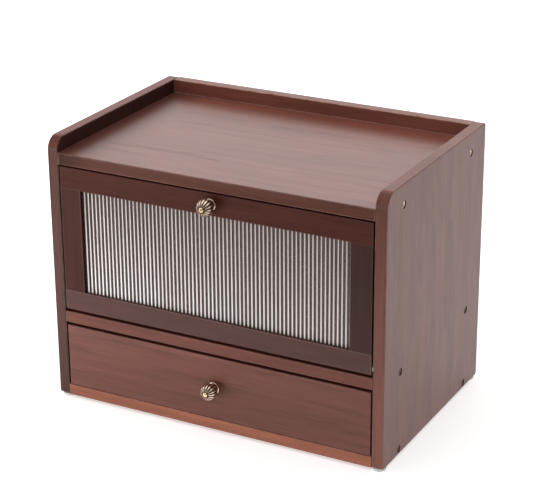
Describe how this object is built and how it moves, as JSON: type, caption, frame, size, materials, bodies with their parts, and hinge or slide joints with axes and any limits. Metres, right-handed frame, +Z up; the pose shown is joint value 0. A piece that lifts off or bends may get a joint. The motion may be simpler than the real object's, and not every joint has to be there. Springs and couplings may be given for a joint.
{
  "type": "bread box with drawer",
  "caption": "Wooden bread box with a drop-front door that holds a reeded clear pane, a drawer below, a railed top and brass pumpkin knobs.",
  "frame": {"origin": "on the surface that the box stands on, in the middle of its footprint with the knobs counted in", "axes": "+X to the right of someone facing the door, +Y from the door to the back, +Z up"},
  "size_m": [0.365, 0.2536, 0.28],
  "materials": {
    "stained_wood": "dark reddish brown stain under a thin satin lacquer, grain along each board",
    "thin_panel": "thin stained sheet, matt",
    "reeded_acrylic": "clear, glossy, with upright reeds on the front",
    "antique_brass": "aged brass, dark in the creases, rubbed on the crests",
    "yellow_screw_steel": "yellow passivated steel",
    "bright_steel": "plain bright steel",
    "nickel_plate": "nickel plated",
    "clear_pad": "soft clear pad, slightly cloudy",
    "plain_beech": "raw turned dowel"
  },
  "bodies": {
    "case": {"side_panel_left": "stained_wood", "side_panel_right": "stained_wood", "top_board": "stained_wood", "middle_shelf": "stained_wood", "bottom_board": "stained_wood", "back_panel": "thin_panel", "gallery_rail": "stained_wood", "rail_dowels": "plain_beech", "case_screws_left": "yellow_screw_steel", "case_screws_right": "yellow_screw_steel", "door_stop_left": "stained_wood", "door_stop_right": "stained_wood", "stop_screws_left": "yellow_screw_steel", "stop_screws_right": "yellow_screw_steel", "catch_magnet_left": "nickel_plate", "catch_magnet_right": "nickel_plate", "pivot_pin_left": "bright_steel", "pivot_pin_right": "bright_steel", "pivot_washer_left": "bright_steel", "pivot_washer_right": "bright_steel", "foot_front_left": "clear_pad", "foot_front_right": "clear_pad", "foot_back_left": "clear_pad", "foot_back_right": "clear_pad"},
    "door": {"door_rail_top": "stained_wood", "door_rail_bottom": "stained_wood", "door_stile_left": "stained_wood", "door_stile_right": "stained_wood", "door_pane": "reeded_acrylic", "strike_disc_left": "bright_steel", "strike_disc_right": "bright_steel", "door_knob": "antique_brass", "door_knob_screw": "yellow_screw_steel"},
    "drawer": {"drawer_front": "stained_wood", "drawer_side_left": "stained_wood", "drawer_side_right": "stained_wood", "drawer_back": "stained_wood", "drawer_bottom": "thin_panel", "drawer_screws_left": "yellow_screw_steel", "drawer_screws_right": "yellow_screw_steel", "drawer_knob": "antique_brass", "drawer_knob_screw": "yellow_screw_steel"}
  },
  "joints": [
    {"name": "door_pivot", "type": "hinge", "parent": "case", "child": "door", "pos_m": [0, -0.10125, 0.1055], "axis": [1, 0, 0], "range_deg": [0, 90]},
    {"name": "drawer_slide", "type": "slide", "parent": "case", "child": "drawer", "axis": [0, -1, 0], "range_m": [0, 0.16]}
  ]
}
